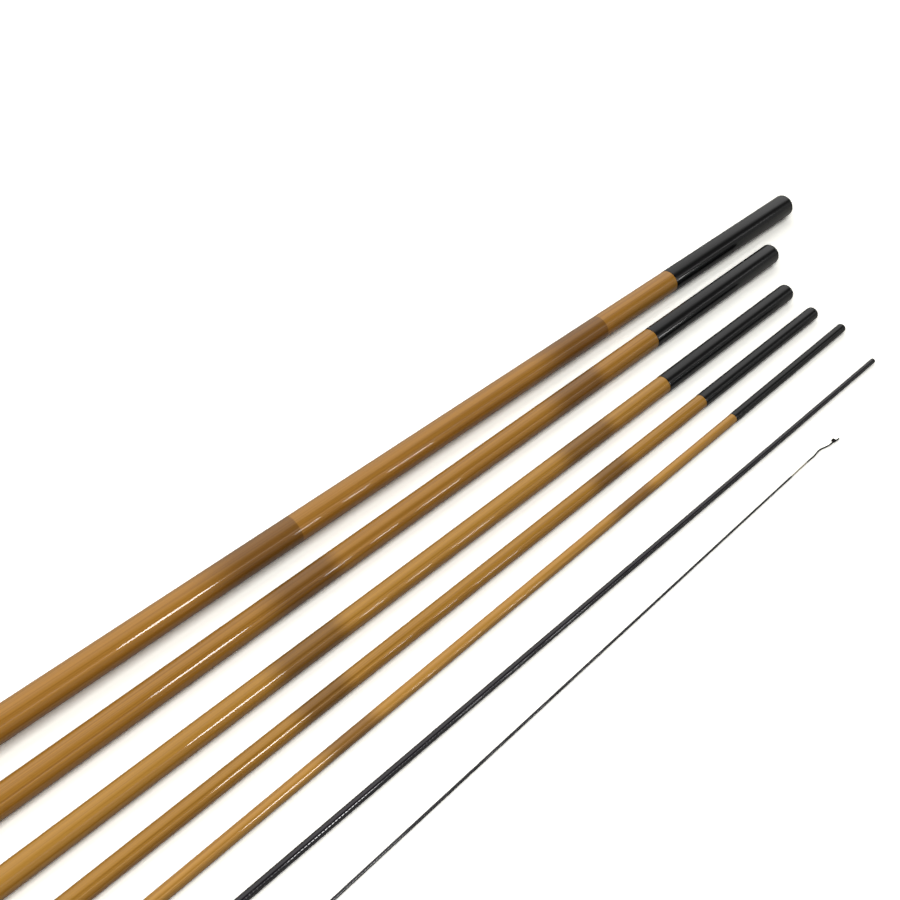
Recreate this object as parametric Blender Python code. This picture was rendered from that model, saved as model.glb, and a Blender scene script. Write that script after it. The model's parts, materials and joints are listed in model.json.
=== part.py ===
"""A seven-section pole rod with push-in joints, taken apart and laid side by side on the ground.

Lengths are in metres and angles in degrees. Every section points roughly along +X with its mouth
end last, and lies on z = 0. Along a section, a place is measured from its butt end (0) to the lip
of its mouth (SECTION_LENGTH). The frame's origin is under the middle of the laid-out rod.
"""
import math

import bmesh
import bpy
from mathutils import Vector

# Sections, butt first
NAMES = ("butt", "second", "third", "fourth", "fifth", "sixth", "tip")
SIDES = (32, 32, 32, 24, 24, 16, 12)
SECTION_LENGTH = 1.000

# Mouths, one for each joint: the first six sections have one at their tip end
MOUTH_DIAMETERS = (0.01200, 0.01065, 0.00865, 0.00650, 0.00440, 0.00230)
NECK_WALLS = (0.00075, 0.00070, 0.00060, 0.00055, 0.00050, 0.00050)
JOINT_DEPTHS = (0.080, 0.080, 0.080, 0.080, 0.080, 0.055)
BORE_TAPER = 0.00005
BORE_RELIEF = 0.003
LIP_ROUND = 0.0002

# Lacquered winding sleeves over the first five mouths, and how much wider each is at its lip than
# the blank is behind it
SLEEVE_LENGTHS = (0.102, 0.100, 0.0995, 0.0915, 0.091)
SLEEVE_SWELLS = (0.00035, 0.00030, 0.00005, -0.00010, -0.00010)
SLEEVE_WALL = 0.00045
SLEEVE_STEP = 0.00006
SLEEVE_REAR_ROUND = 0.00012
SLEEVE_LIP = 0.0006
SLEEVE_ROUND_SHARE = 0.75

# Blanks: hollow tapered tubes
TUBE_WALLS = (0.0009, 0.0009, 0.0008, 0.0007, 0.0006, 0.0005)
BORE_STEP_LENGTH = 0.002
NECK_BACKING = 0.004
LIP_LEDGES = (0.0003, 0.0003, 0.0003, 0.0003, 0.0001, 0.0001)
BUTT_CHAMFER = 0.0002

# Spigots of the second to the sixth section, bonded into the blank's butt end
SPIGOT_WALLS = (0.0008, 0.0008, 0.0008, 0.0007, 0.0005)
SPIGOT_SEAT = 0.070
SPIGOT_ROUND = 0.0004

# Clearances
BOND_GAP = 0.0002
FIT_CLEARANCE = 0.00005
CORD_GAP = 0.0003

# Butt section: the grip, with its build-up over the blank at its swells and its waist, and the cap
BASE_DIAMETER = 0.0130
GRIP_LENGTH = 0.270
GRIP_PALM_PLACE = 0.055
GRIP_WAIST_PLACE = 0.150
GRIP_FINGER_PLACE = 0.212
GRIP_BUTT_BUILD = 0.0035
GRIP_PALM_BUILD = 0.0050
GRIP_WAIST_BUILD = 0.0029
GRIP_FINGER_BUILD = 0.0038
GRIP_FRONT_BUILD = 0.0017
GRIP_COVER_WALL = 0.0008
GRIP_STEPS = 4
CAP_THICKNESS = 0.008
CAP_ROUND = 0.003
CAP_STEM_LENGTH = 0.025
CAP_STEM_CHAMFER = 0.001
WINDING_LENGTH = 0.012
WINDING_EDGE = 0.0006
WINDING_ROUND = 0.0008

# Tip section: a solid tapered blank, a spliced bare core, and the braided tip cord
TIP_END_DIAMETER = 0.00072
TIP_CORE_DIAMETER = 0.00056
TIP_SPLICE_CLEARANCE = 0.00002
TIP_SPLICE_DEPTH = 0.050
BARE_TIP_LENGTH = 0.0118
CORD_DIAMETER = 0.00065

# The tip cord's route from the core's end: along X, across Y and height over the ground
CORD_ROUTE = (
    (0.0000, 0.0000, 0.00036),
    (0.0020, 0.0000, 0.00035),
    (0.0040, -0.0001, 0.00035),
    (0.0060, 0.0000, 0.00035),
    (0.0080, 0.0002, 0.00035),
    (0.0098, 0.0003, 0.00035),
    (0.0116, 0.0000, 0.00035),
    (0.0136, -0.0006, 0.00035),
    (0.0154, -0.0010, 0.00036),
    (0.0168, -0.0012, 0.00052),
    (0.0180, -0.0014, 0.00084),
)
CORD_POINT_SPACING = 0.0013
KNOT_RING = 0.00080
KNOT_WIND = 0.00037
KNOT_POINTS = 36
KNOT_LEAD = 0.0012
KNOT_TAG = 0.0037
KNOT_TURN = -6.0

# Where each section lies: its mouth's place on the ground from the butt section's mouth, and its yaw
MOUTH_PLACES = (
    (0.0000, 0.0000),
    (-0.0426, -0.0205),
    (-0.0633, -0.0442),
    (-0.0667, -0.0620),
    (-0.0649, -0.0776),
    (-0.0746, -0.1006),
    (-0.1535, -0.1156),
)
YAWS = (-0.32, 0.05, 0.08, 0.31, 0.52, -0.26, 0.50)

# Colours (linear), roughness and metallic
GOLD_LACQUER = ((0.38, 0.17, 0.035), 0.12, 0.0)
BLACK_LACQUER = ((0.012, 0.012, 0.012), 0.25, 0.0)
BARE_CARBON = ((0.02, 0.02, 0.022), 0.35, 0.0)
RIBBED_CARBON = ((0.014, 0.010, 0.014), 0.22, 0.0)
GRIP_CORD = ((0.055, 0.028, 0.016), 0.55, 0.0)
GRIP_CORE = ((0.30, 0.20, 0.11), 0.80, 0.0)
PALE_GLASS = ((0.32, 0.29, 0.22), 0.40, 0.0)
BRAID = ((0.012, 0.010, 0.012), 0.65, 0.0)

# Meshing
FLAT_BELOW = math.pi / 2
MERGE_DISTANCE = 1e-7
SHARP_ANGLE = math.radians(40)
CAP_ROUND_STEPS = 6
ROUTE_FINENESS = 20


def clear_scene():
    for thing in list(bpy.data.objects):
        bpy.data.objects.remove(thing, do_unlink=True)


def principled(name, look):
    colour, roughness, metallic = look
    material = bpy.data.materials.new(name)
    material.use_nodes = True
    shader = material.node_tree.nodes["Principled BSDF"]
    shader.inputs["Base Color"].default_value = (*colour, 1.0)
    shader.inputs["Roughness"].default_value = roughness
    shader.inputs["Metallic"].default_value = metallic
    return material


def rounded(before, corner, after, radius, steps=4):
    """Points of an arc that replaces an outline's corner, from the side of before to that of after."""
    corner = Vector(corner)
    back = (Vector(before) - corner).normalized()
    on = (Vector(after) - corner).normalized()
    half = back.angle(on) / 2
    middle = corner + (back + on).normalized() * (radius / math.sin(half))
    start = corner + back * (radius / math.tan(half)) - middle
    sweep = start.angle_signed(corner + on * (radius / math.tan(half)) - middle)
    turns = [-sweep * step / steps for step in range(steps + 1)]
    return [
        tuple(middle + Vector((start.x * math.cos(t) - start.y * math.sin(t),
                               start.x * math.sin(t) + start.y * math.cos(t))))
        for t in turns
    ]


def turned(name, outline, sides, look, parent):
    """A solid of revolution about its own X axis, from a closed outline of (place, radius) points.

    One flat side faces straight down, so that a round piece lies steadily.
    """
    shape = bmesh.new()
    start = FLAT_BELOW + math.pi / sides
    ring = [
        shape.verts.new((place, radius * math.cos(start), -radius * math.sin(start)))
        for place, radius in outline
    ]
    edges = [
        shape.edges.new((ring[i], ring[(i + 1) % len(ring)]))
        for i in range(len(ring))
        if max(outline[i][1], outline[(i + 1) % len(ring)][1]) > 0
    ]
    bmesh.ops.spin(
        shape, geom=ring + edges, cent=(0, 0, 0), axis=(1, 0, 0), dvec=(0, 0, 0),
        angle=math.tau, steps=sides, use_merge=True, use_duplicate=False,
    )
    bmesh.ops.remove_doubles(shape, verts=shape.verts, dist=MERGE_DISTANCE)
    bmesh.ops.recalc_face_normals(shape, faces=shape.faces)
    mesh = bpy.data.meshes.new(name)
    shape.to_mesh(mesh)
    shape.free()
    mesh.shade_smooth()
    mesh.set_sharp_from_angle(angle=SHARP_ANGLE)
    mesh.materials.append(principled(name, look))
    piece = bpy.data.objects.new(name, mesh)
    bpy.context.collection.objects.link(piece)
    piece.parent = parent
    return piece


def sinking(radius, sides):
    """Height of a piece's axis over the ground when it lies on one of its flat sides."""
    return radius * math.cos(math.pi / sides)


# Radii that several pieces share; a section's number counts from 0 at the butt

def sleeve_inside(number):
    return MOUTH_DIAMETERS[number] / 2 - SLEEVE_WALL


def neck_radius(number):
    """Outside of the blank at its mouth, under the sleeve where there is one."""
    if has_sleeve(number):
        return sleeve_inside(number) - BOND_GAP
    return MOUTH_DIAMETERS[number] / 2


def mouth_bore(number):
    return neck_radius(number) - NECK_WALLS[number]


def lip_round(number):
    """Radius of the rounding of a mouth's rim."""
    if has_sleeve(number):
        return SLEEVE_ROUND_SHARE * (MOUTH_DIAMETERS[number] / 2 - mouth_bore(number))
    return LIP_ROUND


def spigot_radius(number):
    """Outside of a section's spigot where it leaves the shoulder, from the mouth that it fits."""
    return mouth_bore(number - 1) - FIT_CLEARANCE


def shoulder_place(number):
    """Where a section's full-width body starts."""
    if number == 0:
        return CAP_THICKNESS + BOND_GAP
    return JOINT_DEPTHS[number - 1]


def butt_radius(number):
    """Outside of the blank at its butt end, just inside the rim of the mouth that it stops against."""
    if number == 0:
        return BASE_DIAMETER / 2
    return MOUTH_DIAMETERS[number - 1] / 2 - LIP_LEDGES[number - 1]


def has_sleeve(number):
    return number < len(SLEEVE_LENGTHS)


def taper_end(number):
    """Place and radius where the visible taper of a hollow blank ends."""
    if has_sleeve(number):
        shoulder = (MOUTH_DIAMETERS[number] - SLEEVE_SWELLS[number]) / 2
        return SECTION_LENGTH - SLEEVE_LENGTHS[number], shoulder
    return SECTION_LENGTH, MOUTH_DIAMETERS[number] / 2


def blank_radius(number, place):
    """Outside of a hollow blank at a place on its visible taper."""
    start = shoulder_place(number)
    end, end_radius = taper_end(number)
    share = (place - start) / (end - start)
    return butt_radius(number) + (end_radius - butt_radius(number)) * share


# Hollow blanks, sleeves and spigots

def blank_outline(number):
    """Outside from butt to lip, then the bore back: mouth, tube and, above the butt, the spigot's seat."""
    start = shoulder_place(number)
    end, end_radius = taper_end(number)
    wall = TUBE_WALLS[number]
    lip = SECTION_LENGTH
    outside = [(start, butt_radius(number) - BUTT_CHAMFER), (start + BUTT_CHAMFER, butt_radius(number))]
    if has_sleeve(number):
        lip = SECTION_LENGTH - SLEEVE_LIP - BOND_GAP
        outside += [(end - BOND_GAP, end_radius), (end - BOND_GAP, neck_radius(number))]
        outside.append((lip, neck_radius(number)))
    else:
        outside += rounded((start, end_radius), (lip, end_radius), (lip, 0), lip_round(number))
    bottom = min(SECTION_LENGTH - JOINT_DEPTHS[number] - BORE_RELIEF, end - NECK_BACKING)
    tube_end = bottom - BORE_STEP_LENGTH
    bore = [
        (lip, mouth_bore(number)),
        (bottom, mouth_bore(number) - BORE_TAPER),
        (tube_end, blank_radius(number, tube_end) - wall),
    ]
    if number == 0:
        return outside + bore + [(start, blank_radius(0, start) - wall)]
    seat_top = start + SPIGOT_SEAT + BOND_GAP
    seat = spigot_radius(number) + BOND_GAP
    tube_start = seat_top + BORE_STEP_LENGTH
    return outside + bore + [
        (tube_start, blank_radius(number, tube_start) - wall), (seat_top, seat), (start, seat),
    ]


def sleeve_outline(number):
    """A wound and lacquered sleeve round the neck, turned in over the blank's end at the lip."""
    start, shoulder = taper_end(number)
    rear = shoulder + SLEEVE_STEP
    front = MOUTH_DIAMETERS[number] / 2
    inside = sleeve_inside(number)
    bore = mouth_bore(number)
    lip = SECTION_LENGTH
    outline = rounded((start, inside), (start, rear), (lip, front), SLEEVE_REAR_ROUND, 2)
    outline += rounded((start, rear), (lip, front), (lip, bore), lip_round(number))
    return outline + [
        (lip, bore), (lip - SLEEVE_LIP, bore), (lip - SLEEVE_LIP, inside), (start, inside),
    ]


def spigot_outline(number):
    """A tube that tapers like the bore that it fits, with a rounded nose, and seats in the blank."""
    shoulder = shoulder_place(number)
    radius = spigot_radius(number)
    nose = radius - BORE_TAPER
    inside = radius - SPIGOT_WALLS[number - 1]
    end = shoulder + SPIGOT_SEAT
    return rounded((0, inside), (0, nose), (shoulder, radius), SPIGOT_ROUND) + [
        (shoulder, radius), (end, radius), (end, inside), (0, inside),
    ]


# Grip and cap

def grip_radius(place, build):
    return blank_radius(0, place) + build


def grip_stations():
    """Places and radii that the grip's outside passes level, butt to front."""
    stations = (
        (CAP_THICKNESS, GRIP_BUTT_BUILD),
        (GRIP_PALM_PLACE, GRIP_PALM_BUILD),
        (GRIP_WAIST_PLACE, GRIP_WAIST_BUILD),
        (GRIP_FINGER_PLACE, GRIP_FINGER_BUILD),
        (GRIP_LENGTH, GRIP_FRONT_BUILD),
    )
    return [(place, grip_radius(place, build)) for place, build in stations]


def grip_profile(inset, start, end):
    """The grip's outside, less an inset, from start to end: a half cosine between two stations."""
    stations = grip_stations()
    points = []
    for (a, low), (b, high) in zip(stations, stations[1:]):
        for step in range(GRIP_STEPS):
            ease = (1 - math.cos(math.pi * step / GRIP_STEPS)) / 2
            points.append((a + (b - a) * step / GRIP_STEPS, low + (high - low) * ease - inset))
    points.append((stations[-1][0], stations[-1][1] - inset))
    points[0] = (start, points[0][1])
    points[-1] = (end, points[-1][1])
    return points


def grip_core_outline():
    start, end = CAP_THICKNESS + BOND_GAP, GRIP_LENGTH
    outside = grip_profile(GRIP_COVER_WALL + BOND_GAP, start, end)
    return outside + [(end, blank_radius(0, end) + BOND_GAP), (start, blank_radius(0, start) + BOND_GAP)]


def grip_cover_outline():
    start, end = CAP_THICKNESS + BOND_GAP, GRIP_LENGTH
    return grip_profile(0, start, end) + grip_profile(GRIP_COVER_WALL, start, end)[::-1]


def front_winding_outline():
    """A thread binding that slopes from the grip's front edge down to the blank."""
    start = GRIP_LENGTH + BOND_GAP
    end = start + WINDING_LENGTH
    high = grip_radius(GRIP_LENGTH, GRIP_FRONT_BUILD)
    inside = blank_radius(0, start) + BOND_GAP
    low = blank_radius(0, end) + BOND_GAP
    outline = rounded((start, inside), (start, high), (end, low + WINDING_EDGE), WINDING_ROUND)
    return outline + [(end, low + WINDING_EDGE), (end, low), (start, inside)]


def cap_outline():
    """A round-edged cap with a flat end face and a stem that plugs the blank."""
    radius = grip_radius(CAP_THICKNESS, GRIP_BUTT_BUILD)
    stem = butt_radius(0) - TUBE_WALLS[0] - BOND_GAP
    stem_end = CAP_THICKNESS + CAP_STEM_LENGTH
    outline = [(0, 0)] + rounded((0, 0), (0, radius), (CAP_THICKNESS, radius), CAP_ROUND, CAP_ROUND_STEPS)
    narrowing = blank_radius(0, stem_end) - butt_radius(0)
    return outline + [
        (CAP_THICKNESS, radius),
        (CAP_THICKNESS, stem),
        (stem_end - CAP_STEM_CHAMFER, stem + narrowing),
        (stem_end, stem + narrowing - CAP_STEM_CHAMFER),
        (stem_end, 0),
    ]


# Tip section

def tip_number():
    return len(NAMES) - 1


def tip_blank_outline():
    """A solid blank, ground down at the butt to its own spigot and bored at the tip for the core."""
    number = tip_number()
    shoulder = shoulder_place(number)
    spigot = spigot_radius(number)
    end = SECTION_LENGTH - BARE_TIP_LENGTH
    end_radius = TIP_END_DIAMETER / 2
    bore = TIP_CORE_DIAMETER / 2 + TIP_SPLICE_CLEARANCE
    bottom = end - TIP_SPLICE_DEPTH - BOND_GAP
    nose = rounded((0, 0), (0, spigot - BORE_TAPER), (shoulder, spigot), SPIGOT_ROUND / 2)
    return [(0, 0)] + nose + [
        (shoulder, spigot),
        (shoulder, butt_radius(number) - BUTT_CHAMFER),
        (shoulder + BUTT_CHAMFER, butt_radius(number)),
        (end, end_radius),
        (end, bore),
        (bottom, bore),
        (bottom, 0),
    ]


def tip_core_outline():
    start = SECTION_LENGTH - BARE_TIP_LENGTH - TIP_SPLICE_DEPTH
    radius = TIP_CORE_DIAMETER / 2
    return [(start, 0), (start, radius), (SECTION_LENGTH, radius), (SECTION_LENGTH, 0)]


def knot_point(share):
    """A point of an overhand knot's ring, at a share of its way, from the ring's first crossing.

    The cord winds three times round a ring while it goes twice along it. Where it comes in it
    stays on top, and where it leaves it stays at the bottom, so that the two ends pass clear.
    """
    angle = math.tau * share
    reach = KNOT_RING + KNOT_WIND * math.cos(3 * angle)
    height = math.sin(3 * angle)
    if angle < math.pi / 6:
        height = 1.0
    elif angle > math.tau - math.pi / 6:
        height = -1.0
    return Vector((
        reach * math.sin(2 * angle),
        KNOT_RING + KNOT_WIND - reach * math.cos(2 * angle),
        CORD_DIAMETER / 2 + KNOT_WIND + KNOT_WIND * height,
    ))


def smooth_route(points, spacing):
    """Evenly spaced points on a Catmull-Rom curve through the route's own points."""
    points = [Vector(p) for p in points]
    points = [2 * points[0] - points[1]] + points + [2 * points[-1] - points[-2]]
    fine = []
    for a, b, c, d in zip(points, points[1:], points[2:], points[3:]):
        for step in range(ROUTE_FINENESS):
            t = step / ROUTE_FINENESS
            fine.append(0.5 * (2 * b + (c - a) * t + (2 * a - 5 * b + 4 * c - d) * t * t
                               + (3 * b - a - 3 * c + d) * t ** 3))
    fine.append(points[-2])
    walked = [0.0]
    for a, b in zip(fine, fine[1:]):
        walked.append(walked[-1] + (b - a).length)
    count = max(2, round(walked[-1] / spacing))
    route = []
    index = 0
    for step in range(count + 1):
        target = walked[-1] * step / count
        while index < len(fine) - 2 and walked[index + 1] < target:
            index += 1
        share = (target - walked[index]) / (walked[index + 1] - walked[index])
        route.append(fine[index].lerp(fine[index + 1], min(1.0, share)))
    return route


def cord_points():
    """The whole tip cord from the core's end: the free stretch, the overhand knot and the short tag."""
    free = [Vector(p) for p in CORD_ROUTE]
    turn = math.radians(KNOT_TURN)
    along = Vector((math.cos(turn), math.sin(turn), 0))
    across = Vector((-math.sin(turn), math.cos(turn), 0))
    first = knot_point(0.0)
    entry = Vector((free[-1].x, free[-1].y, 0)) + along * KNOT_LEAD
    ring = []
    for step in range(KNOT_POINTS + 1):
        point = knot_point(step / KNOT_POINTS)
        ring.append(entry + along * point.x + across * point.y + Vector((0, 0, point.z)))
    lead = smooth_route(free + [entry + Vector((0, 0, first.z))], CORD_POINT_SPACING)
    tag = ring[-1] + along * KNOT_TAG
    return lead[:-1] + ring + [ring[-1].lerp(tag, 0.5), tag]


def cord_length(points):
    return sum((b - a).length for a, b in zip(points, points[1:]))


def knot_gap(points):
    """Least free space between stretches of the cord that are not neighbours along it."""
    near = [
        (a - b).length
        for i, a in enumerate(points)
        for b in points[i + 6:]
    ]
    return min(near) - CORD_DIAMETER


def tip_cord(parent, exit_point):
    points = cord_points()
    print("tip cord length", round(cord_length(points), 5), "least gap", round(knot_gap(points), 6))
    curve = bpy.data.curves.new("tip_cord", "CURVE")
    curve.dimensions = "3D"
    curve.bevel_depth = CORD_DIAMETER / 2
    curve.bevel_resolution = 2
    curve.use_fill_caps = True
    line = curve.splines.new("POLY")
    line.points.add(len(points) - 1)
    for spot, point in zip(line.points, points):
        spot.co = (*point, 1.0)
    curve.materials.append(principled("tip_cord", BRAID))
    piece = bpy.data.objects.new("tip_cord", curve)
    bpy.context.collection.objects.link(piece)
    piece.parent = parent
    piece.matrix_parent_inverse = parent.matrix_local.inverted()
    piece.location = (exit_point.x + CORD_GAP, exit_point.y, 0)
    return piece


# Laying out

def rear_support(number):
    """Place and radius of the widest part near the butt, on which a section rests."""
    if number == 0:
        return GRIP_PALM_PLACE, grip_radius(GRIP_PALM_PLACE, GRIP_PALM_BUILD)
    return shoulder_place(number) + BUTT_CHAMFER, butt_radius(number)


def front_support(number):
    if number == tip_number():
        return SECTION_LENGTH - BARE_TIP_LENGTH, TIP_END_DIAMETER / 2
    return SECTION_LENGTH - lip_round(number), MOUTH_DIAMETERS[number] / 2


def section_holder(number, parent):
    """An empty on a section's axis at its butt end, which turns and tips the section as it lies."""
    rear, rear_radius = rear_support(number)
    front, front_radius = front_support(number)
    sides = SIDES[number]
    fall = (sinking(rear_radius, sides) - sinking(front_radius, sides)) / (front - rear)
    tip_down = math.asin(fall)
    yaw = math.radians(YAWS[number])
    flat = math.cos(tip_down) * SECTION_LENGTH
    x, y = MOUTH_PLACES[number]
    holder = bpy.data.objects.new(NAMES[number] + "_section", None)
    bpy.context.collection.objects.link(holder)
    holder.empty_display_size = 0.02
    holder.parent = parent
    holder.rotation_euler = (0, tip_down, yaw)
    holder.location = (
        x - flat * math.cos(yaw),
        y - flat * math.sin(yaw),
        sinking(rear_radius, sides) + fall * rear,
    )
    return holder


def build_butt_section(holder):
    sides = SIDES[0]
    turned("butt_blank", blank_outline(0), sides, GOLD_LACQUER, holder)
    turned("butt_mouth_sleeve", sleeve_outline(0), sides, BLACK_LACQUER, holder)
    turned("grip_core", grip_core_outline(), sides, GRIP_CORE, holder)
    turned("grip_cover", grip_cover_outline(), sides, GRIP_CORD, holder)
    turned("grip_front_winding", front_winding_outline(), sides, BLACK_LACQUER, holder)
    turned("butt_cap", cap_outline(), sides, BLACK_LACQUER, holder)


def build_hollow_section(number, holder):
    name = NAMES[number]
    sides = SIDES[number]
    coat = GOLD_LACQUER if has_sleeve(number) else RIBBED_CARBON
    turned(name + "_blank", blank_outline(number), sides, coat, holder)
    turned(name + "_spigot", spigot_outline(number), sides, BARE_CARBON, holder)
    if has_sleeve(number):
        turned(name + "_mouth_sleeve", sleeve_outline(number), sides, BLACK_LACQUER, holder)


def build_tip_section(holder):
    sides = SIDES[tip_number()]
    turned("tip_blank", tip_blank_outline(), sides, RIBBED_CARBON, holder)
    turned("tip_core", tip_core_outline(), sides, PALE_GLASS, holder)
    bpy.context.view_layer.update()
    return tip_cord(holder, holder.matrix_local @ Vector((SECTION_LENGTH, 0, 0)))


def centre_on_origin(root, left_out):
    """Moves the whole laid-out rod so that the frame's origin is under the middle of its rigid pieces."""
    bpy.context.view_layer.update()
    corners = [
        thing.matrix_world @ vertex.co
        for thing in bpy.data.objects
        if thing.type == "MESH" and thing is not left_out
        for vertex in thing.data.vertices
    ]
    low = [min(corner[axis] for corner in corners) for axis in range(3)]
    high = [max(corner[axis] for corner in corners) for axis in range(3)]
    root.location = (-(low[0] + high[0]) / 2, -(low[1] + high[1]) / 2, -low[2])
    bpy.context.view_layer.update()


def main():
    clear_scene()
    root = bpy.data.objects.new("laid_out_rod", None)
    bpy.context.collection.objects.link(root)
    holders = [section_holder(number, root) for number in range(len(NAMES))]
    build_butt_section(holders[0])
    for number in range(1, tip_number()):
        build_hollow_section(number, holders[number])
    cord = build_tip_section(holders[tip_number()])
    centre_on_origin(root, cord)


main()
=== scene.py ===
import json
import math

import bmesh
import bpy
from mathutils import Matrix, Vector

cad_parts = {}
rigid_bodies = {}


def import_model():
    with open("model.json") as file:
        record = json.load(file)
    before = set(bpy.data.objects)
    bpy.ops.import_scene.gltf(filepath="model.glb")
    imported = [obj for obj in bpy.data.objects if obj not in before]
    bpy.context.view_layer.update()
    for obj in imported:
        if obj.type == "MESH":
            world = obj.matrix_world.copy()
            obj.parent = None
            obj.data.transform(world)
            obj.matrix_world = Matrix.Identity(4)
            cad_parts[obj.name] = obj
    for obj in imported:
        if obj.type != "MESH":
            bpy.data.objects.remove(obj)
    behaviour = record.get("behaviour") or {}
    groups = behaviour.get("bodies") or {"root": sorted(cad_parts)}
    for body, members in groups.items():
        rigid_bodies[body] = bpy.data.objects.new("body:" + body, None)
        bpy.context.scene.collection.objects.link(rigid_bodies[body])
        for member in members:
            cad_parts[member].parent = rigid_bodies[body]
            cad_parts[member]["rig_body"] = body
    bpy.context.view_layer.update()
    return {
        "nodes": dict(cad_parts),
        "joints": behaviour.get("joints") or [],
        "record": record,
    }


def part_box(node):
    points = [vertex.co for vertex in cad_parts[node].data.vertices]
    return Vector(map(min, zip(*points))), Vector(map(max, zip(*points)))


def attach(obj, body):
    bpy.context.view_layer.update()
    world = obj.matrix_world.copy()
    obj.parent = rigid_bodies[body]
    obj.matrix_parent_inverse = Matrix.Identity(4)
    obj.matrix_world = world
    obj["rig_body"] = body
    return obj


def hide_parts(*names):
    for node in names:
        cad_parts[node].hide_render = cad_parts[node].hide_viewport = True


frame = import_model()

# A seven-section pole rod, taken apart and laid side by side, as the photograph shows it.
#
# Lengths are in metres and angles in degrees. Along a section, a place is measured from its butt end
# and "back" is measured from the lip at its mouth end. Every rigid piece is turned again from its CAD
# node's own outline, finer and with its ribs, so all its main sizes come from the frame.

# The photograph's view, with the lens and the sensor in millimetres
CAMERA_PLACE = (0.0980, -0.1788, 0.3288)
CAMERA_LENS = 42
CAMERA_SENSOR = 36
CAMERA_DOWN = 46.0
CAMERA_HEADING = 46.18

# The tip cord: the CAD source's own route, from the core's end, and how finely its curve is followed
CORD_DIAMETER = 0.00065
CORD_GAP = 0.0003
CORD_ROUTE = (
    (0.0000, 0.0000, 0.00036),
    (0.0020, 0.0000, 0.00035),
    (0.0040, -0.0001, 0.00035),
    (0.0060, 0.0000, 0.00035),
    (0.0080, 0.0002, 0.00035),
    (0.0098, 0.0003, 0.00035),
    (0.0116, 0.0000, 0.00035),
    (0.0136, -0.0006, 0.00035),
    (0.0154, -0.0010, 0.00036),
    (0.0168, -0.0012, 0.00052),
    (0.0180, -0.0014, 0.00084),
)
CORD_SPACING = 0.00025
ROUTE_FINENESS = 20

# The knot is pulled tight, so its strands press into each other, and it is smaller than the CAD's.
# Over its end angle, at both ends of its ring, the strand stays at its highest or lowest.
KNOT_POINTS = 120
KNOT_LEAD = 0.0012
KNOT_TURN = -6.0
KNOT_RING = 0.00052
KNOT_WIND = 0.00027
KNOT_FLATNESS = 0.8
KNOT_ASIDE = 0.0001
KNOT_END_ANGLE = 30.0
KNOT_TAG = 0.0031

# The cord's braid
BRAID_STRANDS = 4
BRAID_PITCH = 0.0016
BRAID_DEPTH = 0.00003
BRAID_SIDES = 24

# Sections, butt first, with the number of sides that each is turned with
NAMES = ("butt", "second", "third", "fourth", "fifth", "sixth", "tip")
GOLD_SECTIONS = NAMES[:5]
SPIGOT_SECTIONS = NAMES[1:6]
SIDES = dict(zip(NAMES, (96, 96, 96, 72, 64, 32, 20)))
SECTION_LENGTH = 1.000

# Ribs: the distance from valley to valley, their height, and a profile of places and heights along
# one rib, as shares. Thread and cord lie round, and the tape's ribs are flat between narrow grooves.
# The threads show through the lacquer on the thinner sleeves only.
ROUND_RIB = ((0.0, 0.0), (0.25, 0.7), (0.5, 1.0), (0.75, 0.7))
FLAT_RIB = ((0.0, 0.0), (0.1, 0.8), (0.15, 1.0), (0.2, 1.0), (0.8, 1.0), (0.85, 1.0), (0.9, 0.8))
THREAD_RIBS = (0.00055, 0.00004, ROUND_RIB)
GRIP_RIBS = (0.0011, 0.00018, ROUND_RIB)
WINDING_RIBS = (0.0005, 0.00006, ROUND_RIB)
TAPE_RIBS = {"sixth": (0.00139, 0.00005, FLAT_RIB), "tip": (0.00124, 0.00004, FLAT_RIB)}
THREADED_SLEEVES = ("third", "fourth", "fifth")

# Gold lacquer of each section, and its dark bands: how far back from the mouth the first one starts,
# how far it is from each to the next, how many there are, how long each is, over what length its
# front and rear edges fade and how far these wander at most
GOLDS = (
    (0.500, 0.233, 0.033),
    (0.480, 0.225, 0.030),
    (0.550, 0.275, 0.042),
    (0.500, 0.245, 0.033),
    (0.600, 0.303, 0.056),
)
BAND_FIRSTS = (0.155, 0.138, 0.1375, 0.144, 0.149)
BAND_SPACINGS = (0.1835, 0.156, 0.152, 0.155, 0.153)
BAND_COUNTS = (3, 5, 5, 5, 5)
BAND_LENGTHS = (0.0385, 0.030, 0.030, 0.021, 0.0225)
BAND_SOFT_FRONTS = (0.0006, 0.010, 0.010, 0.010, 0.010)
BAND_SOFT_REARS = (0.030, 0.020, 0.014, 0.012, 0.014)
BAND_WANDER = 0.004

# Tints, which darken a colour where they are multiplied into it
BAND_TINT = (0.56, 0.53, 0.56)
GRAIN_TINT = (0.76, 0.72, 0.64)
CLOUD_TINT = (0.93, 0.92, 0.90)
RIBBED_CARBON_TINT = (0.6, 0.6, 0.65)
BARE_CARBON_TINT = (0.55, 0.55, 0.58)
GRIP_CORD_TINT = (0.55, 0.50, 0.46)
GRIP_WEAR_TINT = (0.75, 0.72, 0.70)
CORK_TINT = (0.55, 0.48, 0.42)
GLASS_TINT = (0.70, 0.66, 0.58)
BRAID_TINT = (0.5, 0.5, 0.5)

# Colours of the other finishes
BLACK_LACQUER = (0.005, 0.005, 0.005)
RIBBED_CARBON = (0.009, 0.006, 0.010)
BARE_CARBON = (0.030, 0.030, 0.033)
GRIP_CORD = (0.075, 0.040, 0.022)
CORK = (0.33, 0.22, 0.12)
GLASS = (0.36, 0.32, 0.24)
BRAID = (0.008, 0.006, 0.006)
DARK_CLOTH = (0.03, 0.03, 0.03)
WHITE = (1, 1, 1)

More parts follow.
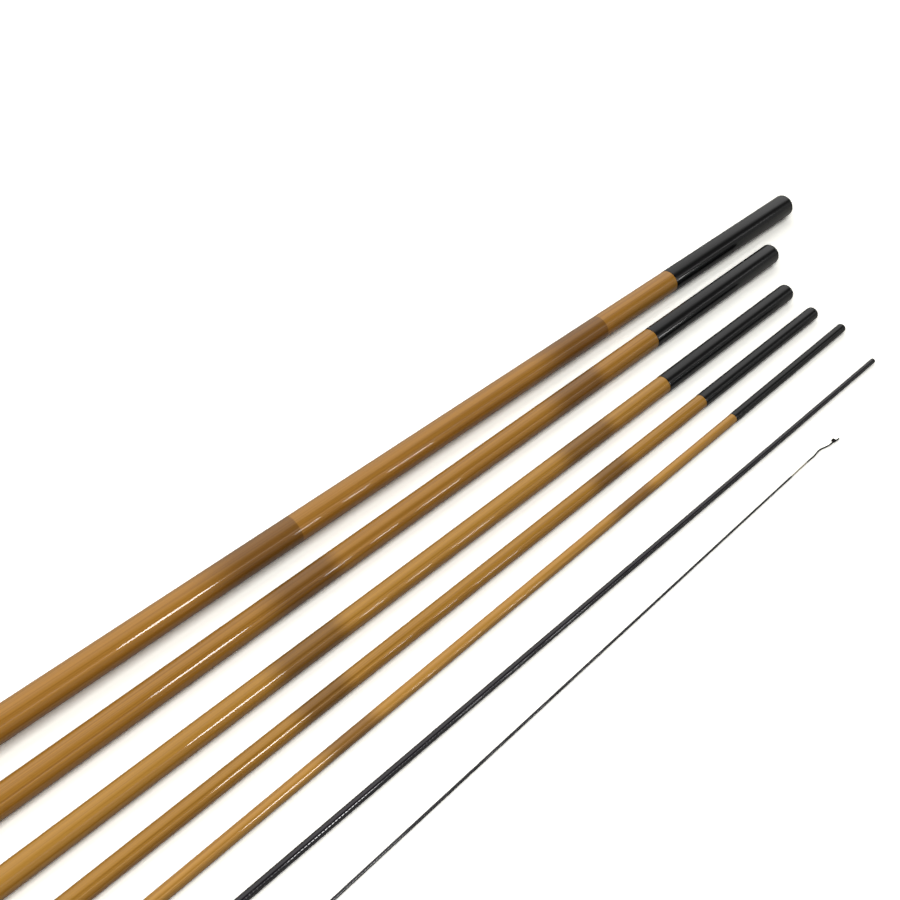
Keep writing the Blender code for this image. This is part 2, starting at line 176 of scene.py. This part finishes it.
# The ranges of the noise over which a finish changes, where the narrow one gives more contrast, and
# the depths of the relief that it gives
WIDE_NOISE = (0.3, 0.7)
NARROW_NOISE = (0.35, 0.65)
FINE_DEPTH = 0.00001
BRAID_FIBRE_DEPTH = 0.00002
GRIP_TWIST_DEPTH = 0.00004
CORK_GRAIN_DEPTH = 0.0001

# Meshing: how near points of the CAD's meshes are merged, how near a vertex counts as on a meridian's
# plane or on the axis, from what length a stretch gets ribs and from what angle an edge stays sharp
MERGE_DISTANCE = 1e-6
ON_AXIS = 2e-5
LONG_STRETCH = 0.003
SHARP_ANGLE = 40.0

# The floor lies just under the turned pieces, which reach a little lower than the CAD's flat sides
FLOOR_HEIGHT = -0.00006
FLOOR_SIZE = 30.0

# How light the floor is to the object, and how much lighter to the camera, as in the overexposed
# photograph, and to mirrored and transmitted rays
FLOOR_TONE = 0.25
FLOOR_SEEN = 1.3
FLOOR_MIRRORED = 0.15
FLOOR_TINT = (1.0, 0.99, 0.93)

# The dark near side of the room, by the angle above the near floor edge: a cloth that stays black
# to the object, but glows faintly in its reflections and fades into the white far side
DARK_SIDE_REACH = 2.2
DARK_SIDE_WIDTH = 16.0
DARK_SIDE_TOP = 100.0
DARK_SIDE_STEPS = 24
DARK_SIDE_GLOW = 0.07
LOW_GLOW = 0.20
LOW_GLOW_FADE = (35.0, 62.0)
HIGH_GLOW = 0.85
HIGH_GLOW_FADE = (70.0, 103.0)

# The white room around, which is darker near the horizon
HORIZON_BRIGHTNESS = 0.4
FULL_BRIGHTNESS_FROM = 35.0

# The soft lamp lights the object, and the others are seen only in its gloss. Each lamp stands at an
# angle above the near floor edge, and its brightness is 1 where it looks as bright as white paper.
SOFT_LAMP = {"across": -1.0, "up_angle": 72, "distance": 1.95, "size": (2.4, 1.4), "brightness": 4.2}
NEAR_WINDOW = {
    "across": 0.595, "up_angle": 39, "distance": 2.0, "size": (0.27, 0.40), "brightness": 19.5,
    "shape": "ELLIPSE",
}
LONG_STRIP = {"across": 0.5, "up_angle": 38, "distance": 2.05, "size": (6.0, 0.12), "brightness": 2.0}

# The far windows stand in a row: how far across each one is, and its width
FAR_WINDOWS = {
    "far_window_a": (0.99, 0.08),
    "far_window_b": (1.14, 0.08),
    "far_window_c": (1.325, 0.15),
}
FAR_WINDOW_HEIGHT = 0.11
FAR_WINDOW_ANGLE = 20
FAR_WINDOW_DISTANCE = 2.0
FAR_WINDOW_BRIGHTNESS = 24.0


# Camera

def put_camera():
    lens = bpy.data.cameras.new("view")
    lens.lens = CAMERA_LENS
    lens.sensor_width = CAMERA_SENSOR
    camera = bpy.data.objects.new("view", lens)
    camera.location = CAMERA_PLACE
    camera.rotation_euler = (
        math.radians(90 - CAMERA_DOWN), 0, math.radians(CAMERA_HEADING - 90),
    )
    bpy.context.collection.objects.link(camera)
    bpy.context.scene.camera = camera


# Sections: each has a frame of its own, with X along it and the butt end at 0

def nodes_of(body):
    return [name for name, node in frame["nodes"].items() if node.get("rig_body") == body]


def direction_of(body):
    """Along a section towards its mouth: its push-in joint's axis, or for the butt its cap's mount."""
    for joint in frame["joints"]:
        if joint["child"] == body:
            return Vector(joint["axis"]).normalized()
    return -Vector(frame["record"]["mounts"][0]["axis"]).normalized()


def merged(node):
    shape = bmesh.new()
    shape.from_mesh(frame["nodes"][node].data)
    bmesh.ops.remove_doubles(shape, verts=shape.verts, dist=MERGE_DISTANCE)
    return shape


def section_frame(name):
    """Takes a section's own places to the world: X along its axis, Z up, its butt end at the origin."""
    body = name + "_section"
    along = direction_of(body)
    blank = merged(name + "_blank")
    centre = sum((vert.co for vert in blank.verts), Vector()) / len(blank.verts)
    blank.free()
    rear = min(
        vert.co.dot(along)
        for node in nodes_of(body) if node != "tip_cord"
        for vert in frame["nodes"][node].data.vertices
    )
    start = centre + along * (rear - centre.dot(along))
    across = Vector((0, 0, 1)).cross(along).normalized()
    return Matrix.Translation(start) @ Matrix((along, across, along.cross(across))).transposed().to_4x4()


SECTIONS = {name: section_frame(name) for name in NAMES}


# The tip cord

def knot_point(share):
    """A point of the overhand knot at a share of its way: a closed trefoil, cut open where it starts.

    At its two ends the strand stays up and down, so that the free stretch and the tag pass each other.
    """
    angle = math.tau * share
    end_angle = math.radians(KNOT_END_ANGLE)
    reach = KNOT_RING + KNOT_WIND * math.cos(3 * angle)
    height = math.sin(3 * angle)
    if angle < end_angle:
        height = 1.0
    elif angle > math.tau - end_angle:
        height = -1.0
    return Vector((
        reach * math.sin(2 * angle),
        KNOT_FLATNESS * (KNOT_RING + KNOT_WIND - reach * math.cos(2 * angle)),
        CORD_DIAMETER / 2 + KNOT_WIND + KNOT_WIND * height,
    ))


def smooth_route(points, spacing):
    """Evenly spaced points on a Catmull-Rom curve through the route's own points."""
    points = [Vector(p) for p in points]
    points = [2 * points[0] - points[1]] + points + [2 * points[-1] - points[-2]]
    fine = []
    for a, b, c, d in zip(points, points[1:], points[2:], points[3:]):
        for step in range(ROUTE_FINENESS):
            t = step / ROUTE_FINENESS
            fine.append(0.5 * (2 * b + (c - a) * t + (2 * a - 5 * b + 4 * c - d) * t * t
                               + (3 * b - a - 3 * c + d) * t ** 3))
    fine.append(points[-2])
    return evenly_spaced(fine, spacing)


def route_length(points):
    return sum((b - a).length for a, b in zip(points, points[1:]))


def evenly_spaced(points, spacing):
    count = max(2, round(route_length(points) / spacing))
    step = route_length(points) / count
    route = [points[0]]
    left = step
    for a, b in zip(points, points[1:]):
        stretch = (b - a).length
        done = 0.0
        while stretch - done > left and len(route) < count:
            done += left
            route.append(a.lerp(b, done / stretch))
            left = step
        left -= stretch - done
    return route + [points[-1]]


def cord_route():
    """The whole tip cord from the core's end: the free stretch, the overhand knot and the short tag."""
    free = [Vector(p) for p in CORD_ROUTE]
    turn = math.radians(KNOT_TURN)
    along = Vector((math.cos(turn), math.sin(turn), 0))
    across = Vector((-math.sin(turn), math.cos(turn), 0))
    entry = Vector((free[-1].x, free[-1].y, 0)) + along * KNOT_LEAD + across * KNOT_ASIDE
    ring = []
    for step in range(KNOT_POINTS + 1):
        point = knot_point(step / KNOT_POINTS)
        ring.append(entry + along * point.x + across * point.y + Vector((0, 0, point.z)))
    lead = smooth_route(free + [entry + Vector((0, 0, knot_point(0).z))], CORD_SPACING)
    tag = [ring[-1], ring[-1] + along * KNOT_TAG]
    return lead[:-1] + ring + evenly_spaced(tag, CORD_SPACING)[1:]


def braid_height(walked, angle):
    """How far a crossing of two strands stands out, at a distance along the cord and an angle round it."""
    lay = math.tau * walked / BRAID_PITCH
    return abs(math.sin(BRAID_STRANDS * angle + lay) * math.sin(BRAID_STRANDS * angle - lay))


def braided_tube(name, points):
    """A closed tube along the points with the relief of a braid."""
    shape = bmesh.new()
    across = Vector((0, 0, 1))
    rings = []
    walked = 0.0
    for index, point in enumerate(points):
        before = points[max(index - 1, 0)]
        after = points[min(index + 1, len(points) - 1)]
        walked += (point - before).length
        along = (after - before).normalized()
        across = (across - along * across.dot(along)).normalized()
        other = along.cross(across)
        ring = []
        for side in range(BRAID_SIDES):
            angle = math.tau * side / BRAID_SIDES
            radius = CORD_DIAMETER / 2 + BRAID_DEPTH * (braid_height(walked, angle) - 0.5)
            outward = across * math.cos(angle) + other * math.sin(angle)
            ring.append(shape.verts.new(point + outward * radius))
        rings.append(ring)
    for one, two in zip(rings, rings[1:]):
        for side in range(BRAID_SIDES):
            turn = (side + 1) % BRAID_SIDES
            shape.faces.new((one[side], one[turn], two[turn], two[side]))
    shape.faces.new(rings[0][::-1])
    shape.faces.new(rings[-1])
    bmesh.ops.recalc_face_normals(shape, faces=shape.faces)
    return finished_piece(name, shape)


def finished_piece(name, shape):
    mesh = bpy.data.meshes.new(name)
    shape.to_mesh(mesh)
    shape.free()
    mesh.shade_smooth()
    mesh.set_sharp_from_angle(angle=math.radians(SHARP_ANGLE))
    piece = bpy.data.objects.new(name, mesh)
    bpy.context.collection.objects.link(piece)
    return piece


def make_tip_cord(finish):
    """The cord starts at the core's end and lies on the floor where the CAD's cord does."""
    route = cord_route()
    end = SECTIONS["tip"] @ Vector((SECTION_LENGTH, 0, 0))
    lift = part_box("tip_cord")[0].z - min(point.z for point in route) + CORD_DIAMETER / 2
    start = Vector((end.x + CORD_GAP, end.y, lift))
    points = [start + point for point in route]
    cord = braided_tube("braided_tip_cord", points)
    cord.data.materials.append(finish)
    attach(cord, "tip_section")
    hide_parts("tip_cord")


# Turned pieces

def outline_of(node, section):
    """A turned node's outline as (place, radius) points, read along one meridian of its mesh.

    It runs from butt to mouth along the outside. A hollow piece's outline is a loop, and a solid
    one's starts and ends in the middle of a flat face, on the axis.
    """
    shape = merged(node)
    inward = SECTIONS[section].inverted()
    spots = {vert: inward @ vert.co for vert in shape.verts}

    def radius(vert):
        return math.hypot(spots[vert].y, spots[vert].z)

    widest = max(shape.verts, key=radius)
    facing = Vector((0, spots[widest].y, spots[widest].z)).normalized()
    beside = Vector((1, 0, 0)).cross(facing)
    line = [
        vert for vert in shape.verts
        if abs(spots[vert].dot(beside)) < ON_AXIS < spots[vert].dot(facing)
    ]

    def neighbours(vert):
        return [edge.other_vert(vert) for edge in vert.link_edges if edge.other_vert(vert) in line]

    ends = [vert for vert in line if len(neighbours(vert)) == 1]
    spot = min(ends or line, key=lambda vert: spots[vert].x)
    outline = []
    while spot:
        outline.append((spots[spot].x, radius(spot)))
        near = neighbours(spot)
        line.remove(spot)
        spot = near[0] if near else None
    shape.free()
    if ends:
        return [(outline[0][0], 0.0)] + outline + [(outline[-1][0], 0.0)]
    if signed_area(outline) > 0:
        outline.reverse()
    return outline


def signed_area(outline):
    turned = outline[1:] + outline[:1]
    return sum(x0 * r1 - x1 * r0 for (x0, r0), (x1, r1) in zip(outline, turned)) / 2


def ribbed(outline, pitch, height, profile):
    """The outline with ribs of one profile along its long outer stretches."""
    points = []
    for (x0, r0), (x1, r1) in zip(outline, outline[1:] + outline[:1]):
        points.append((x0, r0))
        if x1 - x0 < LONG_STRETCH:
            continue
        count = round((x1 - x0) / pitch)
        for rib in range(count):
            for share, level in profile:
                done = (rib + share) / count
                if done > 0:
                    points.append((x0 + (x1 - x0) * done, r0 + (r1 - r0) * done + height * level))
    return points


def turned(name, outline, sides, section):
    """A solid of revolution from an outline, set on its section's axis.

    It is built ring by ring and not with bmesh's spin, whose points come in another order each run.
    A ring on the axis is a single point.
    """
    shape = bmesh.new()
    turns = [math.tau * side / sides for side in range(sides)]
    rings = [
        [
            shape.verts.new((place, radius * math.cos(turn), radius * math.sin(turn)))
            for turn in (turns if radius > 0 else turns[:1])
        ]
        for place, radius in outline
    ]
    for one, two in zip(rings, rings[1:] + rings[:1]):
        for side in range(sides):
            after = (side + 1) % sides
            corners = [ring[spot % len(ring)] for ring, spot in (
                (one, side), (one, after), (two, after), (two, side),
            )]
            corners = list(dict.fromkeys(corners))
            if len(corners) > 2:
                shape.faces.new(corners)
    bmesh.ops.recalc_face_normals(shape, faces=shape.faces)
    piece = finished_piece(name, shape)
    piece.matrix_world = SECTIONS[section]
    return piece


def redone(node, section, finish, ribs=None):
    """A finer piece in place of a turned CAD node, with its ribs where it has any."""
    outline = outline_of(node, section)
    if ribs:
        outline = ribbed(outline, *ribs)
    piece = turned(node + "_fine", outline, SIDES[section], section)
    piece.data.materials.append(finish)
    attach(piece, section + "_section")
    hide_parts(node)


# Finishes

class Finish:
    """A procedural material: one Principled shader, and short ways to add the nodes that feed it."""

    def __init__(self, name, settings):
        self.material = bpy.data.materials.new(name)
        self.material.use_nodes = True
        self.tree = self.material.node_tree
        self.shader = self.tree.nodes["Principled BSDF"]
        for socket, value in settings.items():
            self.shader.inputs[socket].default_value = value
        self.position = self.node("TexCoord").outputs["Object"]
        self.place = self.node("SeparateXYZ", {"Vector": self.position}).outputs["X"]

    def node(self, kind, inputs=None, **settings):
        node = self.tree.nodes.new("ShaderNode" + kind)
        for key, value in settings.items():
            setattr(node, key, value)
        for socket, value in (inputs or {}).items():
            self.feed(node.inputs[socket], value)
        return node

    def feed(self, socket, value):
        if isinstance(value, bpy.types.NodeSocket):
            self.tree.links.new(value, socket)
        else:
            socket.default_value = value

    def set(self, socket, value):
        self.feed(self.shader.inputs[socket], value)

    def sum_of(self, a, b):
        return self.node("Math", {0: a, 1: b}, operation="ADD").outputs[0]

    def product(self, a, b):
        return self.node("Math", {0: a, 1: b}, operation="MULTIPLY").outputs[0]

    def ramp(self, value, low, high, to_low=0.0, to_high=1.0):
        """A smooth step from one value to another as the input goes from low to high."""
        return self.node("MapRange", {
            "Value": value, "From Min": low, "From Max": high, "To Min": to_low, "To Max": to_high,
        }, interpolation_type="SMOOTHSTEP").outputs["Result"]

    def noise(self, along, across, detail=2.0):
        """Noise with so many blotches per metre along and across the piece."""
        spread = self.node("Mapping", {"Vector": self.position, "Scale": (along, across, across)})
        return self.node("TexNoise", {
            "Vector": spread.outputs["Vector"], "Scale": 1.0, "Detail": detail,
        }).outputs["Fac"]

    def tinted(self, colour, tint, share):
        """The colour multiplied by a tint, to a share."""
        mix = self.node("Mix", {"Factor": share}, data_type="RGBA", blend_type="MULTIPLY")
        self.feed(mix.inputs["A"], colour)
        self.feed(mix.inputs["B"], tint)
        return mix.outputs["Result"]

    def mottle(self, colour, tint, noise, noise_range=NARROW_NOISE):
        """A base colour that takes on a tint where the noise is high."""
        share = self.ramp(noise, *noise_range)
        self.set("Base Color", self.tinted(opaque(colour), opaque(tint), share))

    def roughen(self, noise, smooth, rough):
        """A roughness that goes from one value to another with the noise."""
        self.set("Roughness", self.ramp(noise, *WIDE_NOISE, smooth, rough))

    def relief(self, height, depth, strength, socket="Normal"):
        bump = self.node("Bump", {"Height": height, "Distance": depth, "Strength": strength})
        self.set(socket, bump.outputs["Normal"])


def opaque(colour):
    return (*colour, 1.0)


def gold_lacquer(number):
    """Clear lacquer over a gold ground with long faint grain, and dark bands like a bamboo's joints."""
    finish = Finish(NAMES[number] + "_gold_lacquer", {
        "Metallic": 0.2, "Coat Weight": 1.0, "Coat Roughness": 0.03, "Specular IOR Level": 0.1,
    })
    grain = finish.noise(along=6, across=1800, detail=3)
    tone = finish.noise(along=9, across=60)
    streaks = finish.ramp(grain, low=0.42, high=0.72)
    colour = finish.tinted(opaque(GOLDS[number]), opaque(GRAIN_TINT), streaks)
    colour = finish.tinted(colour, opaque(CLOUD_TINT), finish.ramp(tone, low=0.40, high=0.65))
    for count in range(BAND_COUNTS[number]):
        start = BAND_FIRSTS[number] + BAND_SPACINGS[number] * count
        colour = finish.tinted(colour, opaque(BAND_TINT), band(finish, number, start, tone))
    finish.set("Base Color", colour)
    finish.roughen(tone, smooth=0.42, rough=0.50)
    finish.relief(grain, FINE_DEPTH, strength=0.4)
    peel = finish.noise(along=12, across=60)
    finish.relief(peel, FINE_DEPTH, strength=0.02, socket="Coat Normal")
    return finish.material


def band(finish, number, start, tone):
    """How dark a band is at each place: a front edge towards the mouth and a slow fade behind it."""
    front = SECTION_LENGTH - start
    rear = front - BAND_LENGTHS[number]
    soft_front = BAND_SOFT_FRONTS[number]
    soft_rear = BAND_SOFT_REARS[number]
    wander = finish.product(tone, min(soft_front, BAND_WANDER))
    place = finish.sum_of(finish.place, wander)
    fades_in = finish.ramp(place, rear - soft_rear / 2, rear + soft_rear / 2)
    fades_out = finish.ramp(place, front - soft_front / 2, front + soft_front / 2, 1.0, 0.0)
    return finish.product(fades_in, fades_out)


def black_lacquer(name):
    """Black lacquer, almost even."""
    finish = Finish(name, {"Base Color": opaque(BLACK_LACQUER), "IOR": 1.55})
    finish.roughen(finish.noise(along=30, across=60), smooth=0.16, rough=0.22)
    finish.relief(finish.noise(along=120, across=240), FINE_DEPTH, strength=0.04)
    return finish.material


def ribbed_carbon(name):
    """Black carbon under a thin coat."""
    finish = Finish(name, {
        "Coat Weight": 1.0, "Coat Roughness": 0.04, "Coat IOR": 1.7, "Specular IOR Level": 0.0,
    })
    cloud = finish.noise(along=60, across=300, detail=3)
    finish.mottle(RIBBED_CARBON, RIBBED_CARBON_TINT, cloud)
    finish.roughen(cloud, smooth=0.20, rough=0.30)
    finish.relief(finish.noise(along=200, across=3000), FINE_DEPTH, strength=0.3)
    return finish.material


def bare_carbon(name):
    """Carbon ground down on a lathe: fine rings round the piece."""
    finish = Finish(name, {})
    rings = finish.noise(along=9000, across=60, detail=3)
    finish.mottle(BARE_CARBON, BARE_CARBON_TINT, finish.noise(along=120, across=200))
    finish.roughen(rings, smooth=0.30, rough=0.46)
    finish.relief(rings, FINE_DEPTH, strength=0.4)
    return finish.material


def grip_cord(name):
    """Dark twisted cord, worn in places and lightly lacquered."""
    finish = Finish(name, {"Coat Weight": 0.15, "Coat Roughness": 0.3})
    twist = finish.noise(along=3000, across=1800, detail=3)
    wear = finish.noise(along=25, across=90, detail=3)
    between = finish.ramp(twist, *NARROW_NOISE)
    colour = finish.tinted(opaque(GRIP_CORD), opaque(GRIP_CORD_TINT), between)
    colour = finish.tinted(colour, opaque(GRIP_WEAR_TINT), finish.ramp(wear, low=0.40, high=0.65))
    finish.set("Base Color", colour)
    finish.roughen(wear, smooth=0.45, rough=0.65)
    finish.relief(twist, GRIP_TWIST_DEPTH, strength=0.6)
    return finish.material


def grip_core(name):
    """Pressed cork, hidden under the grip's cover."""
    finish = Finish(name, {})
    grains = finish.noise(along=700, across=700, detail=4)
    finish.mottle(CORK, CORK_TINT, grains, noise_range=(0.45, 0.62))
    finish.roughen(grains, smooth=0.70, rough=0.90)
    finish.relief(grains, CORK_GRAIN_DEPTH, strength=0.5)
    return finish.material


def pale_glass(name):
    """Bare glass fibre, with its fibres along the piece."""
    finish = Finish(name, {"Coat Weight": 0.4, "Coat Roughness": 0.15})
    fibres = finish.noise(along=60, across=9000, detail=3)
    finish.mottle(GLASS, GLASS_TINT, fibres)
    finish.roughen(fibres, smooth=0.28, rough=0.42)
    finish.relief(fibres, FINE_DEPTH, strength=0.4)
    return finish.material


def braid(name):
    """The tip cord's black fibres. The braid itself is in the mesh."""
    finish = Finish(name, {"Specular IOR Level": 0.25})
    fibres = finish.noise(along=7000, across=7000, detail=3)
    finish.mottle(BRAID, BRAID_TINT, fibres)
    finish.roughen(fibres, smooth=0.55, rough=0.75)
    finish.relief(fibres, BRAID_FIBRE_DEPTH, strength=0.5)
    return finish.material


# Stage: floor, lamps and the dark side of the room

def put_floor():
    shape = bmesh.new()
    bmesh.ops.create_grid(shape, x_segments=1, y_segments=1, size=FLOOR_SIZE / 2)
    floor = finished_piece("floor", shape)
    floor.location.z = FLOOR_HEIGHT
    finish = Finish("white_floor", {"Specular IOR Level": 0.0})
    finish.roughen(finish.noise(along=40, across=40), smooth=0.75, rough=0.9)
    seen_by = finish.node("LightPath").outputs
    mirrored = finish.sum_of(seen_by["Is Glossy Ray"], seen_by["Is Transmission Ray"])
    lighter = finish.sum_of(
        finish.product(seen_by["Is Camera Ray"], FLOOR_SEEN), finish.product(mirrored, FLOOR_MIRRORED),
    )
    tone = finish.sum_of(lighter, FLOOR_TONE)
    finish.set("Base Color", finish.tinted(tone, opaque(FLOOR_TINT), 1.0))
    floor.data.materials.append(finish.material)


def put_dark_side():
    """A cloth over the near side of the room, hidden from the camera."""
    shape = bmesh.new()
    rows = []
    for step in range(DARK_SIDE_STEPS + 1):
        angle = math.radians(DARK_SIDE_TOP * step / DARK_SIDE_STEPS)
        y = -DARK_SIDE_REACH * math.cos(angle)
        z = DARK_SIDE_REACH * math.sin(angle)
        rows.append([shape.verts.new((x, y, z)) for x in (-DARK_SIDE_WIDTH / 2, DARK_SIDE_WIDTH / 2)])
    for low, high in zip(rows, rows[1:]):
        shape.faces.new((low[0], low[1], high[1], high[0]))
    cloth = finished_piece("dark_side", shape)
    cloth.visible_camera = False
    finish = Finish("graded_cloth", {
        "Base Color": opaque(DARK_CLOTH), "Specular IOR Level": 0.0, "Roughness": 1.0,
        "Emission Color": opaque(WHITE),
    })
    spot = finish.node("SeparateXYZ", {"Vector": finish.position}).outputs
    nearer = finish.product(spot["Y"], -1.0)
    angle = finish.node("Math", {0: spot["Z"], 1: nearer}, operation="ARCTAN2").outputs[0]
    low_glow = finish.ramp(angle, *map(math.radians, LOW_GLOW_FADE), LOW_GLOW, 0.0)
    high_glow = finish.ramp(angle, *map(math.radians, HIGH_GLOW_FADE), 0.0, HIGH_GLOW)
    glow = finish.sum_of(DARK_SIDE_GLOW, finish.sum_of(low_glow, high_glow))
    mirrored = finish.node("LightPath").outputs["Is Glossy Ray"]
    finish.set("Emission Strength", finish.product(glow, mirrored))
    cloth.data.materials.append(finish.material)


def put_lamp(name, across, up_angle, distance, size, brightness, glossy, shape="RECTANGLE"):
    """A flat lamp facing the object. It shows in glossy reflections or gives diffuse light, not both."""
    lamp = bpy.data.lights.new(name, "AREA")
    lamp.shape = shape
    lamp.size, lamp.size_y = size
    area = size[0] * size[1] * (math.pi / 4 if shape == "ELLIPSE" else 1)
    lamp.energy = brightness * math.pi * area
    holder = bpy.data.objects.new(name, lamp)
    angle = math.radians(up_angle)
    holder.location = (across, -distance * math.cos(angle), distance * math.sin(angle))
    holder.rotation_euler = (math.radians(90) - angle, 0, 0)
    holder.visible_camera = False
    holder.visible_glossy = glossy
    holder.visible_diffuse = not glossy
    bpy.context.collection.objects.link(holder)


def put_world():
    world = bpy.data.worlds.new("white_room")
    world.use_nodes = True
    tree = world.node_tree
    background = tree.nodes["Background"]
    background.inputs["Color"].default_value = opaque(WHITE)
    direction = tree.nodes.new("ShaderNodeTexCoord").outputs["Generated"]
    height = tree.nodes.new("ShaderNodeSeparateXYZ")
    fade = tree.nodes.new("ShaderNodeMapRange")
    fade.inputs["From Max"].default_value = math.sin(math.radians(FULL_BRIGHTNESS_FROM))
    fade.inputs["To Min"].default_value = HORIZON_BRIGHTNESS
    tree.links.new(direction, height.inputs["Vector"])
    tree.links.new(height.outputs["Z"], fade.inputs["Value"])
    tree.links.new(fade.outputs["Result"], background.inputs["Strength"])
    bpy.context.scene.world = world


def put_lamps():
    """Angles run from the near floor edge (0) over the top (90) to the far one (180)."""
    put_lamp("soft", glossy=False, **SOFT_LAMP)
    put_lamp("near_window", glossy=True, **NEAR_WINDOW)
    for name, (across, width) in FAR_WINDOWS.items():
        put_lamp(
            name, across, FAR_WINDOW_ANGLE, FAR_WINDOW_DISTANCE, (width, FAR_WINDOW_HEIGHT),
            FAR_WINDOW_BRIGHTNESS, glossy=True,
        )
    put_lamp("long_strip", glossy=True, **LONG_STRIP)


def build():
    put_camera()
    bpy.context.scene.view_settings.view_transform = "Standard"
    make_tip_cord(braid("tip_braid"))
    lacquer = black_lacquer("black_lacquer")
    carbon = ribbed_carbon("ribbed_carbon")
    bare = bare_carbon("bare_carbon")
    for number, name in enumerate(GOLD_SECTIONS):
        redone(name + "_blank", name, gold_lacquer(number))
        threads = THREAD_RIBS if name in THREADED_SLEEVES else None
        redone(name + "_mouth_sleeve", name, lacquer, threads)
    for name in SPIGOT_SECTIONS:
        redone(name + "_spigot", name, bare)
    for name, ribs in TAPE_RIBS.items():
        redone(name + "_blank", name, carbon, ribs)
    redone("tip_core", "tip", pale_glass("pale_glass"))
    redone("grip_core", "butt", grip_core("pressed_cork"))
    redone("grip_cover", "butt", grip_cord("grip_cord"), GRIP_RIBS)
    redone("grip_front_winding", "butt", lacquer, WINDING_RIBS)
    redone("butt_cap", "butt", lacquer)
    put_floor()
    put_dark_side()
    put_lamps()
    put_world()


build()
